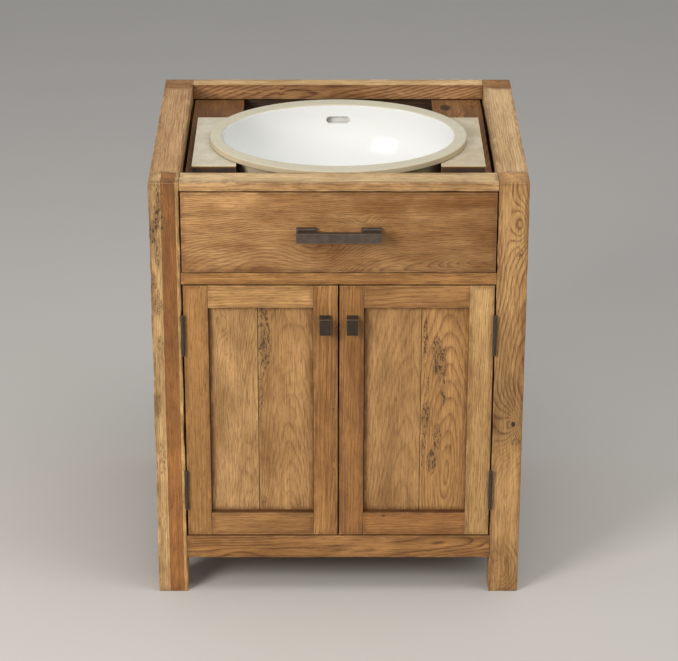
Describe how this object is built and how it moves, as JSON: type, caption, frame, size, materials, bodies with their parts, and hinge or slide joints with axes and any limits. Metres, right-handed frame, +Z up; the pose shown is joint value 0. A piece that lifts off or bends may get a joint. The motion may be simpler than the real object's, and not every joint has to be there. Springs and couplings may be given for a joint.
{
  "type": "bathroom vanity cabinet",
  "caption": "Rustic oak vanity base with recessed-panel doors, a U-shaped drawer round the bowl and an oval undermount basin carried on side boards; open legs at the floor.",
  "frame": {"origin": "centre of the bounding box's footprint, on the floor", "axes": "+Z up, doors and drawer face -Y, +X to the right when facing the front"},
  "size_m": [0.686, 0.62, 0.835],
  "materials": {
    "oak": "weathered reclaimed oak, clear satin",
    "inside_wood": "plain sawn boards",
    "dark_bronze": "dark bronze, satin",
    "zinc_steel": "zinc plated",
    "ceramic": "white glaze, unglazed cream rim",
    "white_pad": "painted off-white"
  },
  "bodies": {
    "cabinet": {"back_panel": "inside_wood", "basin": "ceramic", "floor_panel": "inside_wood", "hinge_left_lower_frame_leaf": "dark_bronze", "hinge_left_upper_frame_leaf": "dark_bronze", "hinge_right_lower_frame_leaf": "dark_bronze", "hinge_right_upper_frame_leaf": "dark_bronze", "post_back_left": "oak", "post_back_right": "oak", "post_front_left": "oak", "post_front_right": "oak", "rail_bottom_back": "oak", "rail_bottom_front": "oak", "rail_bottom_left": "oak", "rail_bottom_right": "oak", "rail_middle": "oak", "rail_top_back": "oak", "rail_top_front": "oak", "rail_top_left": "oak", "rail_top_right": "oak", "side_panel_left": "oak", "side_panel_right": "oak", "sink_block_left": "inside_wood", "sink_block_right": "inside_wood", "sink_board_left": "oak", "sink_board_right": "oak", "sink_pad_left": "white_pad", "sink_pad_right": "white_pad", "slide_left_fixed": "zinc_steel", "slide_right_fixed": "zinc_steel"},
    "door_left": {"door_left_bottom_rail": "oak", "door_left_hinge_stile": "oak", "door_left_inner_board": "oak", "door_left_knob": "dark_bronze", "door_left_meeting_stile": "oak", "door_left_outer_board": "oak", "door_left_top_rail": "oak", "hinge_left_lower_door_leaf": "dark_bronze", "hinge_left_upper_door_leaf": "dark_bronze"},
    "door_right": {"door_right_bottom_rail": "oak", "door_right_hinge_stile": "oak", "door_right_inner_board": "oak", "door_right_knob": "dark_bronze", "door_right_meeting_stile": "oak", "door_right_outer_board": "oak", "door_right_top_rail": "oak", "hinge_right_lower_door_leaf": "dark_bronze", "hinge_right_upper_door_leaf": "dark_bronze"},
    "drawer": {"drawer_back_left": "inside_wood", "drawer_back_right": "inside_wood", "drawer_bottom": "inside_wood", "drawer_front": "oak", "drawer_pull": "dark_bronze", "drawer_side_left": "inside_wood", "drawer_side_right": "inside_wood", "drawer_well_front": "inside_wood", "drawer_well_left": "inside_wood", "drawer_well_right": "inside_wood", "slide_left_moving": "zinc_steel", "slide_right_moving": "zinc_steel"}
  },
  "joints": [
    {"name": "door_left_hinge", "type": "hinge", "parent": "cabinet", "child": "door_left", "pos_m": [-0.2859, -0.2809, 0.379], "axis": [0, 0, -1], "range_deg": [0, 165]},
    {"name": "door_right_hinge", "type": "hinge", "parent": "cabinet", "child": "door_right", "pos_m": [0.2859, -0.2809, 0.379], "axis": [0, 0, 1], "range_deg": [0, 165]},
    {"name": "drawer_slide", "type": "slide", "parent": "cabinet", "child": "drawer", "axis": [0, -1, 0], "range_m": [0, 0.33]}
  ]
}
